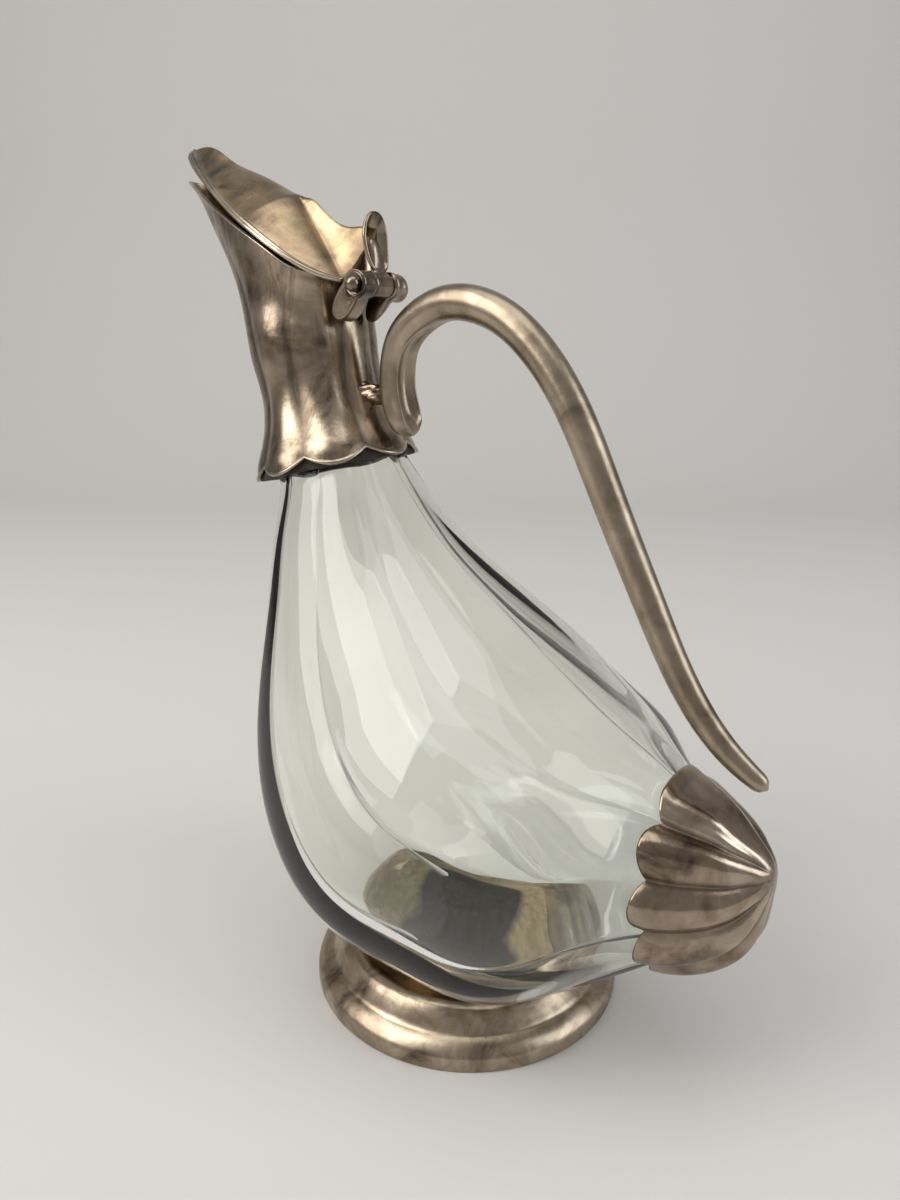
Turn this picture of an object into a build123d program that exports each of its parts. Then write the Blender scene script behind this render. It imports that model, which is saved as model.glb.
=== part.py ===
"""Claret jug: a lobed glass body with a silver-plated neck, hinged lid, handle, foot and tail cap.

Millimetres. +Z is up, +X points to the tail and -X to the beak, and Y = 0 is the plane of symmetry.
The origin is the centre of the foot, on the surface that it stands on.
"""
from build123d import *
import os
from math import cos, pi, radians, sin

# ---------------------------------------------------------------- driving dimensions
# foot: a hollow spun shell with a rolled rim, a grooved slope and a platform under the cup
foot_radius = 53.0
foot_rim_height = 4.4
foot_wall = 1.5
groove_radius = 47.5
groove_height = 9.2
bead_radius = 41.0
bead_height = 16.4
rim_roll = 8.0
bead_roll = 9.5
platform_radius = 31.0
platform_height = 14.0
cup_radius = 35.0
cup_height = 23.5
foot_cement_radius = 29.0

# glass body: wall, lobes, and the rails that its sections hang between
glass_wall = 3.0
glass_lobes = 10
glass_crease = 0.03
glass_fullness = 0.07
cement = 0.9
# front x, front z, rear x, rear z, half-width
glass_root = (-76.0, 168.5, -34.5, 179.3, 21.6)
glass_shoulder = (-77.0, 122.8, -20.9, 163.3, 33.1)
glass_breast = (-77.5, 83.5, -6.6, 151.1, 43.1)
glass_chest = (-68.6, 52.7, 7.2, 141.7, 53.0)
glass_belly = (-49.6, 32.3, 19.4, 133.5, 61.6)
glass_keel = (-22.4, 20.1, 31.1, 125.1, 66.1)
glass_rump = (44.5, 20.0, 54.5, 108.3, 54.5)
glass_tail = (75.5, 38.6, 74.8, 96.4, 26.6)
glass_tail_taper = (86.5, 45.5, 83.5, 91.0, 20.0)
glass_tail_end = (95.0, 60.0, 92.5, 82.0, 11.0)
tail_taper = 0.17

# neck and collar: their axis leans forward, and the collar's lower ring is its datum
neck_base_x = -58.9
neck_base_z = 173.1
neck_lean = 14.2
neck_glass_length = 31.0
collar_wall = 1.1
collar_base_radius = 28.0
collar_lip_radius = 27.2
collar_lip_rise = 4.5
collar_flare_radius = 24.9
collar_flare_rise = 10.0
collar_step_radius = 22.3
collar_step_rise = 17.5
collar_waist_radius = 20.8
collar_waist_rise = 26.0
collar_top_radius = 21.6
collar_top_rise = 41.0
collar_lobes = 8
collar_crease = 1.3
throat_crease = 0.9
spout_crease = 0.5
scallop_depth = 3.8
# front x, front z, rear x, rear z, half-width
throat = (-97.5, 229.5, -49.9, 225.0, 22.5)
spout = (-112.5, 252.0, -50.9, 231.2, 25.2)
mouth = (-130.7, 270.6, -51.5, 236.0, 27.5)
throat_taper = 0.2
spout_taper = 0.4
mouth_taper = 0.55
throat_corners = 0.03
spout_corners = 0.08
mouth_corners = 0.13

# hinge: axis along Y
hinge_x = -39.6
hinge_z = 232.4
pin_radius = 1.5
pin_fit = 0.05
ball_radius = 2.7
knuckle_radius = 3.6
knuckle_length = 8.6
ear_radius = 4.3
ear_length = 6.7
web_thickness = 4.6
web_set_back = 6.6
web_foot_drop = 13.4
web_top_drop = 1.4
blind_end = 2.5
part_gap = 0.3

# lid: an arched shell over the mouth
lid_wall = 1.5
# distance along the mouth, half-width, lift and crest height above the mouth's plane
lid_heel = (-3.0, 11.0, 0.4, 10.5)
lid_rear = (6.0, 20.5, 0.5, 13.8)
lid_crest = (25.0, 22.6, 0.9, 15.6)
lid_middle = (43.0, 21.6, 1.5, 13.6)
lid_front = (60.0, 16.4, 3.0, 12.6)
lid_beak = (75.0, 10.4, 6.2, 12.4)
lid_tip = (87.0, 3.2, 8.0, 10.6)
arch_shoulder = 0.55
arch_fullness = 0.62
thumb_half_width = 5.6
thumb_height = 15.8
thumb_thickness = 2.8
thumb_dish = 1.1
thumb_lift = 5.2
thumb_set_back = 0.8
thumb_slope = 0.12

# handle: x, z, half-depth and half-width along its length, from the root to the free end
handle_root = (-27.6, 188.2, 3.6, 4.4)
handle_path = [
    (-31.9, 197.5, 4.3, 5.6),
    (-32.6, 206.0, 4.3, 5.6),
    (-29.2, 216.0, 4.7, 5.4),
    (-21.2, 223.1, 5.3, 5.4),
    (-5.9, 226.9, 5.4, 5.4),
    (8.6, 222.8, 5.3, 5.3),
    (21.1, 213.4, 5.2, 5.2),
    (33.0, 198.3, 5.1, 5.1),
    (44.3, 177.4, 4.9, 4.9),
    (61.3, 145.1, 4.5, 4.5),
    (74.5, 122.7, 4.1, 4.1),
    (85.9, 110.0, 3.6, 3.6),
]
handle_end = (98.6, 101.4, 2.4, 2.4)
boss_radius = 3.2
boss_rise = 198.5

# tail cap: bottom x, bottom z, top x, top z, half-width
cap_rim = (75.7, 37.0, 75.3, 98.7, 28.8)
cap_shoulder = (81.5, 38.4, 80.0, 96.6, 26.2)
cap_slope = (91.2, 43.2, 87.0, 94.3, 20.8)
cap_nose = (102.8, 61.0, 96.0, 86.0, 12.2)
cap_tip = (103.6, 72.4, 103.5, 79.2, 3.5)
cap_wall = 1.1
cap_crease = 0.07

# ---------------------------------------------------------------- shared geometry
Y_DIRECTION = Vector(0, 1, 0)
neck_up = Vector(-sin(radians(neck_lean)), 0, cos(radians(neck_lean)))
neck_across = Vector(cos(radians(neck_lean)), 0, sin(radians(neck_lean)))
neck_base = Vector(neck_base_x, 0, neck_base_z)


def rail_station(station):
    """Front point, rear point and half-width of a section, from its five numbers."""
    front_x, front_z, rear_x, rear_z, half_width = station
    return Vector(front_x, 0, front_z), Vector(rear_x, 0, rear_z), half_width


def neck_station(rise, radius):
    """The same three values for a round section, rise above the collar's lower ring."""
    centre = neck_base + neck_up * rise
    return centre - neck_across * radius, centre + neck_across * radius, radius


def section_plane(front, rear):
    """The plane through two points of the plane of symmetry and the Y direction."""
    along = rear - front
    return Plane(origin=(front + rear) / 2, x_dir=along, z_dir=along.cross(Y_DIRECTION))


def oval(station, grow=0.0, lobes=0, crease=0.0, crease_on_top=False, fullness=0.0, taper=0.0, corners=0.0):
    """A closed, lobed oval on a station's section plane, made larger by grow all round.

    Fullness swells its two front corners and corners its two rear ones; taper narrows its front.
    """
    front, rear, half_width = station
    half_length = (rear - front).length / 2 + grow
    side = half_width + grow
    count = 4 * lobes if lobes else 24
    points = []
    for i in range(count):
        turn = 2 * pi * i / count
        wave = sin(lobes * turn / 2) if crease_on_top else cos(lobes * turn / 2)
        reach = 1 - crease * (1 - abs(wave))
        reach *= 1 + (fullness if cos(turn) < 0 else corners) * sin(2 * turn) ** 2
        narrow = 1 - taper * (1 - cos(turn)) / 2
        points.append((half_length * reach * cos(turn), side * reach * narrow * sin(turn)))
    with BuildSketch(section_plane(front, rear)) as outline:
        with BuildLine():
            Spline(*points, periodic=True)
        make_face()
    return outline.sketch


# ---------------------------------------------------------------- glass body
glass_neck_radius = collar_waist_radius - collar_crease - collar_wall - cement
glass_neck = [neck_station(neck_glass_length, glass_neck_radius)]
glass_neck += [neck_station(neck_glass_length / 2, glass_neck_radius + cement)]
glass_neck += [rail_station(glass_root)]
glass_round = [glass_shoulder, glass_breast, glass_chest, glass_belly, glass_keel, glass_rump]
glass_end = [glass_tail, glass_tail_taper, glass_tail_end]


def glass_sections(grow=0.0):
    """Sections of the glass from the top of its neck to the end of its tail."""
    sections = [oval(station, grow, glass_lobes, glass_crease, True) for station in glass_neck]
    for station in glass_round:
        sections.append(oval(rail_station(station), grow, glass_lobes, glass_crease, True, glass_fullness))
    for station in glass_end:
        sections.append(oval(rail_station(station), grow, glass_lobes, glass_crease, True, taper=tail_taper))
    return sections


with BuildPart() as glass_outside:
    loft(sections=glass_sections(), ruled=True)

with BuildPart() as glass_inside:
    loft(sections=glass_sections(-glass_wall)[:-1], ruled=True)

with BuildPart() as glass_body:
    add(glass_outside.part)
    add(glass_inside.part, mode=Mode.SUBTRACT)

# ---------------------------------------------------------------- neck collar
# station, taper towards the front, swell of the rear corners, and depth of the creases between the lobes
collar_stations = [
    (neck_station(0, collar_base_radius), 0, 0, collar_crease),
    (neck_station(collar_lip_rise, collar_lip_radius), 0, 0, collar_crease),
    (neck_station(collar_flare_rise, collar_flare_radius), 0, 0, collar_crease),
    (neck_station(collar_step_rise, collar_step_radius), 0, 0, collar_crease),
    (neck_station(collar_waist_rise, collar_waist_radius), 0, 0, collar_crease),
    (neck_station(collar_top_rise, collar_top_radius), 0, 0, collar_crease),
    (rail_station(throat), throat_taper, throat_corners, throat_crease),
    (rail_station(spout), spout_taper, spout_corners, spout_crease),
    (rail_station(mouth), mouth_taper, mouth_corners, 0),
]


def collar_sections(grow=0.0):
    """Sections of the collar from its lower ring to its mouth."""
    sections = []
    for station, taper, corners, depth in collar_stations:
        crease = depth / (station[1] - station[0]).length * 2
        sections.append(oval(station, grow, collar_lobes, crease, taper=taper, corners=corners))
    return sections


scallop_width = 0.9 * collar_base_radius * sin(pi / collar_lobes)

with BuildPart() as collar_outside:
    loft(sections=collar_sections(), ruled=True)

with BuildPart() as collar_inside:
    loft(sections=collar_sections(-collar_wall), ruled=True)

with BuildPart() as scallop_cutter:
    with BuildSketch(Plane(origin=neck_base, x_dir=Y_DIRECTION, z_dir=neck_across)):
        with BuildLine():
            ThreePointArc((scallop_width, 0), (scallop_width / 2, scallop_depth / 4), (0, scallop_depth))
            ThreePointArc((0, scallop_depth), (-scallop_width / 2, scallop_depth / 4), (-scallop_width, 0))
            Polyline(
                (-scallop_width, 0),
                (-scallop_width, -scallop_depth),
                (scallop_width, -scallop_depth),
                (scallop_width, 0),
            )
        make_face()
    extrude(amount=collar_base_radius * 2)

with BuildPart() as neck_collar:
    add(collar_outside.part)
    add(collar_inside.part, mode=Mode.SUBTRACT)
    for i in range(collar_lobes):
        turn = 360 * (i + 0.5) / collar_lobes
        add(scallop_cutter.part.rotate(Axis(neck_base, neck_up), turn), mode=Mode.SUBTRACT)

with BuildPart() as neck_cement:
    add(collar_inside.part)
    neck_top = Plane(origin=neck_base + neck_up * neck_glass_length, x_dir=neck_across, z_dir=neck_up)
    split(bisect_by=neck_top, keep=Keep.BOTTOM)
    add(glass_outside.part, mode=Mode.SUBTRACT)

# ---------------------------------------------------------------- lid
mouth_front, mouth_rear, mouth_half_width = rail_station(mouth)
mouth_along = (mouth_front - mouth_rear).normalized()
mouth_up = Vector(mouth_along.Z, 0, -mouth_along.X)


def mouth_point(along, height):
    """A point of the plane of symmetry, along the mouth from its rear edge and above its plane."""
    return mouth_rear + mouth_along * along + mouth_up * height


def lid_section(station, inset=0.0, drop=0.0):
    """An arch across the mouth: flat below, crested above."""
    along, half_width, lift, crest = station
    side = half_width - inset
    rise = crest - lift - inset + drop
    origin = mouth_point(along, lift - drop)
    with BuildSketch(Plane(origin=origin, x_dir=Y_DIRECTION, z_dir=-mouth_along)) as arch:
        with BuildLine():
            Spline(
                (-side, 0),
                (-side * arch_shoulder, rise * arch_fullness),
                (0, rise),
                (side * arch_shoulder, rise * arch_fullness),
                (side, 0),
            )
            Line((side, 0), (-side, 0))
        make_face()
    return arch.sketch


lid_stations = [lid_heel, lid_rear, lid_crest, lid_middle, lid_front, lid_beak, lid_tip]

with BuildPart() as lid_outside:
    loft(sections=[lid_section(station) for station in lid_stations], ruled=True)

with BuildPart() as lid:
    add(lid_outside.part)
    hollow = [lid_section(station, lid_wall, lid_wall) for station in lid_stations[1:-1]]
    loft(sections=hollow, ruled=True, mode=Mode.SUBTRACT)

# ---------------------------------------------------------------- thumb-piece
hinge = Vector(hinge_x, 0, hinge_z)
thumb_centre = hinge + Vector(-thumb_set_back, 0, thumb_lift + thumb_height / 2)
thumb_plane = Plane(origin=thumb_centre, x_dir=Y_DIRECTION, z_dir=(1, 0, thumb_slope))

with BuildPart() as thumb_piece:
    with BuildSketch(thumb_plane):
        Ellipse(thumb_half_width, thumb_height / 2)
    extrude(amount=thumb_thickness / 2, both=True)
    with BuildSketch(thumb_plane.offset(thumb_thickness / 2 - thumb_dish)):
        Ellipse(thumb_half_width - thumb_dish, thumb_height / 2 - thumb_dish)
    extrude(amount=thumb_dish, mode=Mode.SUBTRACT)

# ---------------------------------------------------------------- lid knuckle and its web


def side_plane(width):
    """The side plane from which a piece of this width is extruded across the plane of symmetry."""
    return Plane.XZ.offset(-width / 2)


def side_points(*vectors):
    """Places in the plane of symmetry as points of a side plane."""
    return [(vector.X, vector.Z) for vector in vectors]


web_outline = side_points(
    hinge + Vector(knuckle_radius / 2, 0, 0),
    thumb_plane.from_local_coords((0, -thumb_height / 2, 0)),
    thumb_plane.from_local_coords((0, thumb_height / 4, 0)),
    mouth_point(lid_heel[0], lid_heel[3] - lid_wall),
    mouth_point(lid_rear[0], lid_heel[3] - lid_wall),
    mouth_point(lid_rear[0], lid_rear[2] + lid_wall),
    mouth_point(lid_heel[0], lid_heel[2] + part_gap),
    hinge + Vector(-knuckle_radius / 2, 0, -knuckle_radius / 2),
)

with BuildPart() as lid_knuckle:
    with BuildSketch(side_plane(knuckle_length)):
        with Locations((hinge_x, hinge_z)):
            Circle(knuckle_radius)
    extrude(amount=knuckle_length)
    with BuildSketch(side_plane(web_thickness)):
        Polygon(*web_outline, align=None)
    extrude(amount=web_thickness)
    with BuildSketch(side_plane(knuckle_length)):
        with Locations((hinge_x, hinge_z)):
            Circle(pin_radius + pin_fit)
    extrude(amount=knuckle_length, mode=Mode.SUBTRACT)
    add(lid_outside.part, mode=Mode.SUBTRACT)
    add(thumb_piece.part, mode=Mode.SUBTRACT)

# ---------------------------------------------------------------- hinge bracket, pin and ball
bracket_length = knuckle_length + 2 * part_gap + 2 * ear_length
pin_length = bracket_length - blind_end

with BuildPart() as hinge_bracket:
    with BuildSketch(side_plane(bracket_length)):
        Polygon(
            (hinge_x, hinge_z - ear_radius),
            (hinge_x - web_set_back, hinge_z - web_foot_drop),
            (mouth_rear.X - ear_length, hinge_z - web_foot_drop),
            (mouth_rear.X - ear_length, hinge_z - web_top_drop),
            (hinge_x - web_set_back, hinge_z - web_top_drop),
            (hinge_x, hinge_z + ear_radius / 2),
            align=None,
        )
        with Locations((hinge_x, hinge_z)):
            Circle(ear_radius)
    extrude(amount=bracket_length)
    knuckle_room = knuckle_length + 2 * part_gap
    with BuildSketch(side_plane(knuckle_room)):
        with Locations((hinge_x, hinge_z)):
            Rectangle(2 * (knuckle_radius + ear_radius), 4 * ear_radius)
    extrude(amount=knuckle_room, mode=Mode.SUBTRACT)
    with BuildSketch(Plane.XZ.offset(bracket_length / 2)):
        with Locations((hinge_x, hinge_z)):
            Circle(pin_radius)
    extrude(amount=-pin_length, mode=Mode.SUBTRACT)
    add(collar_outside.part, mode=Mode.SUBTRACT)

with BuildPart() as hinge_pin:
    with BuildSketch(Plane.XZ.offset(bracket_length / 2)):
        with Locations((hinge_x, hinge_z)):
            Circle(pin_radius)
    extrude(amount=-pin_length)

ball_plane = Plane(origin=hinge + Vector(0, -bracket_length / 2, 0))

with BuildPart() as pin_ball:
    with BuildSketch(ball_plane):
        with BuildLine():
            Line((0, 0), (0, -ball_radius))
            CenterArc((0, 0), ball_radius, -90, 90)
            Line((ball_radius, 0), (0, 0))
        make_face()
    revolve(axis=Axis(hinge, Y_DIRECTION))

# ---------------------------------------------------------------- handle and its boss
handle_stations = [handle_root] + handle_path + [handle_end]
handle_centres = [Vector(x, 0, z) for x, z, half_depth, half_width in handle_stations]


def handle_section(i):
    """An oval across the handle at a station, square to the line through its neighbours."""
    x, z, half_depth, half_width = handle_stations[i]
    before = handle_centres[max(i - 1, 0)]
    after = handle_centres[min(i + 1, len(handle_centres) - 1)]
    with BuildSketch(Plane(origin=handle_centres[i], x_dir=Y_DIRECTION, z_dir=after - before)) as section:
        Ellipse(half_width, half_depth)
    return section.sketch


with BuildPart() as handle:
    loft(sections=[handle_section(i) for i in range(len(handle_stations))], ruled=True)

with BuildPart() as handle_boss:
    with BuildSketch(Plane(origin=(handle_path[0][0], 0, boss_rise), x_dir=Y_DIRECTION, z_dir=(-1, 0, 0))):
        Circle(boss_radius)
    extrude(amount=collar_base_radius)
    add(collar_outside.part, mode=Mode.SUBTRACT)
    add(handle.part, mode=Mode.SUBTRACT)

# ---------------------------------------------------------------- foot, cup and their cement
foot_outside = [
    (foot_radius, 0),
    (foot_radius, foot_rim_height),
    (groove_radius, groove_height),
    (bead_radius, bead_height),
    (platform_radius, platform_height),
    (0, platform_height),
]
foot_inside = [
    (0, platform_height - foot_wall),
    (platform_radius, platform_height - foot_wall),
    (bead_radius - foot_wall, bead_height - 2 * foot_wall),
    (groove_radius - foot_wall, groove_height - foot_wall),
    (foot_radius - foot_wall, foot_rim_height - foot_wall),
    (foot_radius - foot_wall, 0),
]

with BuildPart() as foot:
    with BuildSketch(Plane.XZ):
        with BuildLine():
            Line(foot_outside[0], foot_outside[1])
            RadiusArc(foot_outside[1], foot_outside[2], -rim_roll)
            RadiusArc(foot_outside[2], foot_outside[3], -bead_roll)
            Polyline(*foot_outside[3:], *foot_inside, foot_outside[0])
        make_face()
    revolve(axis=Axis.Z)

with BuildPart() as glass_bed:
    loft(sections=glass_sections(cement), ruled=True)

with BuildPart() as foot_cup:
    with BuildSketch(Plane.XZ):
        with BuildLine():
            Line((0, platform_height), (platform_radius, platform_height))
            RadiusArc((platform_radius, platform_height), (cup_radius, cup_height), cup_radius)
            Line((cup_radius, cup_height), (0, cup_height))
            Line((0, cup_height), (0, platform_height))
        make_face()
    revolve(axis=Axis.Z)
    add(glass_bed.part, mode=Mode.SUBTRACT)

with BuildPart() as foot_cement:
    with BuildSketch(Plane.XY.offset(platform_height)):
        Circle(foot_cement_radius)
    extrude(amount=cup_height - platform_height)
    add(glass_bed.part, mode=Mode.INTERSECT)
    add(glass_outside.part, mode=Mode.SUBTRACT)

# ---------------------------------------------------------------- tail cap and its cement
cap_stations = [cap_rim, cap_shoulder, cap_slope, cap_nose, cap_tip]


def cap_sections(stations, grow=0.0):
    """Sections of the cap from its rim towards its tip."""
    rails = [rail_station(station) for station in stations]
    return [oval(rail, grow, glass_lobes, cap_crease, True, taper=tail_taper) for rail in rails]


with BuildPart() as cap_outside:
    loft(sections=cap_sections(cap_stations), ruled=True)

with BuildPart() as cap_inside:
    loft(sections=cap_sections(cap_stations[:-1], -cap_wall), ruled=True)

with BuildPart() as tail_cap:
    add(cap_outside.part)
    add(cap_inside.part, mode=Mode.SUBTRACT)

with BuildPart() as tail_cement:
    add(cap_inside.part)
    add(glass_outside.part, mode=Mode.SUBTRACT)

# ---------------------------------------------------------------- finished pieces
pieces = {
    "glass_body": glass_body,
    "neck_cement": neck_cement,
    "neck_collar": neck_collar,
    "hinge_bracket": hinge_bracket,
    "hinge_pin": hinge_pin,
    "pin_ball": pin_ball,
    "lid": lid,
    "lid_knuckle": lid_knuckle,
    "thumb_piece": thumb_piece,
    "handle": handle,
    "handle_boss": handle_boss,
    "foot": foot,
    "foot_cup": foot_cup,
    "foot_cement": foot_cement,
    "tail_cap": tail_cap,
    "tail_cement": tail_cement,
}
os.makedirs("parts", exist_ok=True)
for name, piece in pieces.items():
    piece.part.label = name
    export_step(piece.part, f"parts/{name}.step")
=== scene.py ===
"""A claret jug dressed in lobed clear glass and tarnished silver plate, on a plain pale floor."""
from math import cos, pi, radians, sin

import bmesh
import bpy
import numpy as np
from mathutils import Matrix


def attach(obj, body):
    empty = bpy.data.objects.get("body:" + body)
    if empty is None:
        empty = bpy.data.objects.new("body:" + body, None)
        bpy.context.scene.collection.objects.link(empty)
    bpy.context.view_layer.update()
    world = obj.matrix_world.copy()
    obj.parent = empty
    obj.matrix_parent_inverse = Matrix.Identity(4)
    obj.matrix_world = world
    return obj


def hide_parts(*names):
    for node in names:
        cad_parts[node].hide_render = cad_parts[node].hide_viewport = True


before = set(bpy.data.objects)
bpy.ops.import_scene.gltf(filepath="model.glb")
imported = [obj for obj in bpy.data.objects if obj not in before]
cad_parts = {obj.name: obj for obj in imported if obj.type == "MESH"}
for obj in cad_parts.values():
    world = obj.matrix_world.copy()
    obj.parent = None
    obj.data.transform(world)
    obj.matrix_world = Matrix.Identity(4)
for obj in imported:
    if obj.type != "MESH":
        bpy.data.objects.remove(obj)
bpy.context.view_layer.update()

MM = 0.001

# ---------------------------------------------------------------- sizes, in millimetres
# sections of the jug hang between a front and a rear rail: front x, front z, rear x, rear z, half-width, and
# for some the taper towards the front
NECK_LEAN = radians(14.2)
NECK_BASE = (-58.9, 173.1)
GLASS_NECK_TOP, GLASS_NECK_RADIUS, GLASS_THROAT_RADIUS = 31.0, 17.4, 18.9
GLASS_STATIONS = [
    (-76.0, 168.5, -34.5, 179.3, 21.6),
    (-76.3, 146.0, -28.6, 171.8, 27.2),
    (-76.6, 122.8, -20.9, 163.3, 33.1),
    (-77.3, 83.5, -6.6, 151.1, 43.1),
    (-68.6, 52.7, 7.2, 141.7, 53.0),
    (-49.6, 32.3, 19.4, 133.5, 61.4),
    (-22.4, 20.6, 31.1, 125.1, 65.7),
    (9.4, 17.4, 42.6, 116.7, 62.8),
    (43.5, 20.0, 54.7, 108.5, 54.2),
    (74.6, 38.2, 73.6, 97.4, 27.4, 0.17),
    (86.0, 45.5, 83.3, 91.0, 20.0, 0.17),
    (94.0, 59.0, 92.0, 82.5, 11.0, 0.17),
]
GLASS_WALL, GLASS_BASE_WALL = 1.8, 2.4
GLASS_LOBES, GLASS_CREASE, GLASS_FULLNESS, GLASS_SOFTNESS = 10, 0.052, 0.07, 0.05
# shares of the glass's length: where the inside ends, over what the creases grow in, where the thicker wall
# starts and over what it grows
GLASS_INSIDE_END, GLASS_FADE, GLASS_BASE_START, GLASS_BASE_FADE = 0.965, 0.12, 0.35, 0.3
GLASS_INNER_CREASE = 0.4        # how deep a crease is inside, over its depth outside

COLLAR_RINGS = [(0, 28.0), (4.5, 27.2), (10, 24.9), (17.5, 22.2), (26, 20.8), (41, 21.6)]
# the same five numbers, then taper, depth of the creases, swell of the rear corners and pinch of the spout
COLLAR_STATIONS = [
    (-97.5, 229.5, -49.9, 225.0, 22.5, 0.20, 0.034, 0.03, 0.0),
    (-112.3, 252.0, -50.9, 231.2, 25.2, 0.40, 0.022, 0.08, 0.15),
    (-130.0, 270.1, -51.5, 236.0, 27.2, 0.55, 0.004, 0.13, 0.38),
]
# along the mouth from its rear edge, height of the lip above the straight line to the spout
MOUTH_LIP = [
    (0.0, -0.6), (4.0, -1.3), (14.5, -0.1), (32.0, 1.2), (54.0, 2.0), (66.0, 1.8), (80.0, 0.5), (87.0, -0.2),
]
LIP_START, LIP_FADE = 0.8, 0.2      # shares of the collar's length: where that height sets in, and over what
COLLAR_LOBES, COLLAR_CREASE, COLLAR_WALL, COLLAR_SOFTNESS = 8, 0.056, 1.1, 0.08
COLLAR_LENGTH, SCALLOP, SCALLOP_FALL = 98.0, 3.8, 6
LIP_ROLL, LIP_WIDTH, HEM_WIDTH = 0.5, 1.6, 1.5
# runs of rings from hem to lip, as shares of the length: first, last, how many
COLLAR_LEVELS = [(0, 0.018, 8), (0.03, 0.965, 82), (0.972, 1, 14)]

CAP_STATIONS = [
    (73.6, 36.6, 73.2, 99.3, 29.2),
    (77.0, 37.2, 76.2, 98.6, 28.6),
    (82.5, 38.8, 80.6, 96.9, 25.8),
    (91.6, 44.0, 87.2, 93.8, 20.4),
    (99.2, 53.0, 92.6, 89.4, 15.6),
    (102.5, 63.0, 98.2, 84.6, 9.6),
    (103.4, 71.6, 102.4, 80.2, 4.4),
    (103.5, 75.0, 103.3, 78.6, 1.6),
]
CAP_LOBES, CAP_CREASE, CAP_WALL, CAP_TAPER, CAP_SOFTNESS = 10, 0.135, 1.1, 0.17, 0.10
CAP_SCALLOP, CAP_DISH, CAP_RIDGE, CAP_PUFF = 0.060, 1.7, 0.7, 1.3
# in degrees from the top of the cap: how far no crease is pressed in, reach of the dish, place and width of
# its raised edge, and where the puffed lobes start
TOP_SMOOTH, DISH_REACH, RIDGE_PLACE, RIDGE_WIDTH, PUFF_START = 18, 21, 31, 3.2, 36
# shares of the cap's length: where each ends towards the tip, and over what it fades
DISH_RIM_FADE, DISH_END, DISH_FADE = 0.10, 0.90, 0.35
RIDGE_END, RIDGE_FADE, PUFF_END, PUFF_FADE, CAP_CREASE_FADE = 0.9, 0.4, 0.95, 0.3, 0.25
CAP_SCALLOP_FALL, CAP_TIP_SHARE = 8, 0.08
PLASTER_GAP, PLASTER_WALL, PLASTER_START, PLASTER_END = 0.05, 1.3, 0.05, 0.85

FOOT_PROFILE = [
    (53.0, 0.0), (53.0, 4.0), (52.4, 5.4), (50.6, 7.4), (48.6, 8.6), (47.5, 9.0), (46.6, 10.4), (45.2, 13.4),
    (43.2, 15.6), (41.0, 16.3), (39.2, 15.6), (37.6, 14.6), (31.0, 14.0), (0.0, 14.0),
    (0.0, 12.5), (31.0, 12.5), (38.0, 13.0), (42.0, 12.6), (45.0, 9.0), (47.0, 7.4), (50.0, 5.0), (51.5, 3.0),
    (51.5, 0.0),
]
FOOT_ROUNDING, FOOT_CORNER = 0.7, radians(18)

HINGE = (-39.6, 232.4)
MOUTH_REAR, SPOUT_TIP = np.array([-51.5, 236.0]), np.array([-130.7, 270.6])
ALONG = (SPOUT_TIP - MOUTH_REAR) / np.linalg.norm(SPOUT_TIP - MOUTH_REAR)
UP = np.array([ALONG[1], -ALONG[0]])


# ---------------------------------------------------------------- shapes
def spline(rows, t, measured=4):
    """Natural cubic curve through rows of numbers, read at t from 0, the first row, to 1, the last."""
    rows = np.array(rows, float)
    chord = np.linalg.norm(np.diff(rows[:, :measured], axis=0), axis=1)
    knots = np.concatenate([[0.0], np.cumsum(chord)]) / chord.sum()
    step = np.diff(knots)
    count = len(rows)
    matrix, target = np.eye(count), np.zeros_like(rows)
    for i in range(1, count - 1):
        matrix[i, i - 1 : i + 2] = step[i - 1], 2 * (step[i - 1] + step[i]), step[i]
        target[i] = 6 * ((rows[i + 1] - rows[i]) / step[i] - (rows[i] - rows[i - 1]) / step[i - 1])
    bend = np.linalg.solve(matrix, target)
    t = np.asarray(t, float)
    i = np.clip(np.searchsorted(knots, t) - 1, 0, count - 2)
    b = ((t - knots[i]) / step[i])[..., None]
    a = 1 - b
    curved = ((a**3 - a) * bend[i] + (b**3 - b) * bend[i + 1]) * (step[i] ** 2)[..., None] / 6
    return a * rows[i] + b * rows[i + 1] + curved


def neck_row(rise, radius):
    """A round section of the leaning neck as a row of the rails."""
    x = NECK_BASE[0] - sin(NECK_LEAN) * rise
    z = NECK_BASE[1] + cos(NECK_LEAN) * rise
    dx, dz = cos(NECK_LEAN) * radius, sin(NECK_LEAN) * radius
    return (x - dx, z - dz, x + dx, z + dz, radius)


def section(rows, turn, grow=0.0, fullness=0.0, taper=0.0, corners=0.0, pinch=0.0):
    """Points of the sections in rows (..., 5) at the angles turn, and the vectors from them to the centre."""
    front_x, front_z, rear_x, rear_z, half_width = np.moveaxis(rows[..., :5], -1, 0)
    half_x, half_z = (rear_x - front_x) / 2, (rear_z - front_z) / 2
    length = np.hypot(half_x, half_z)
    swell = 1 + np.where(np.cos(turn) < 0, fullness, corners) * np.sin(2 * turn) ** 2
    along = np.cos(turn) * swell * (length + grow) / length
    frontness = (1 - np.cos(turn)) / 2
    narrow = (1 - taper * frontness) * (1 - pinch * frontness**6)
    across = np.sin(turn) * swell * narrow * (half_width + grow)
    inward = -np.stack([half_x * along, across, half_z * along], -1)
    centre = np.stack([(front_x + rear_x) / 2, 0 * across, (front_z + rear_z) / 2], -1)
    return centre - inward, inward


def smooth(x):
    """A soft step from 0 to 1."""
    x = np.clip(x, 0, 1)
    return x * x * (3 - 2 * x)


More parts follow.
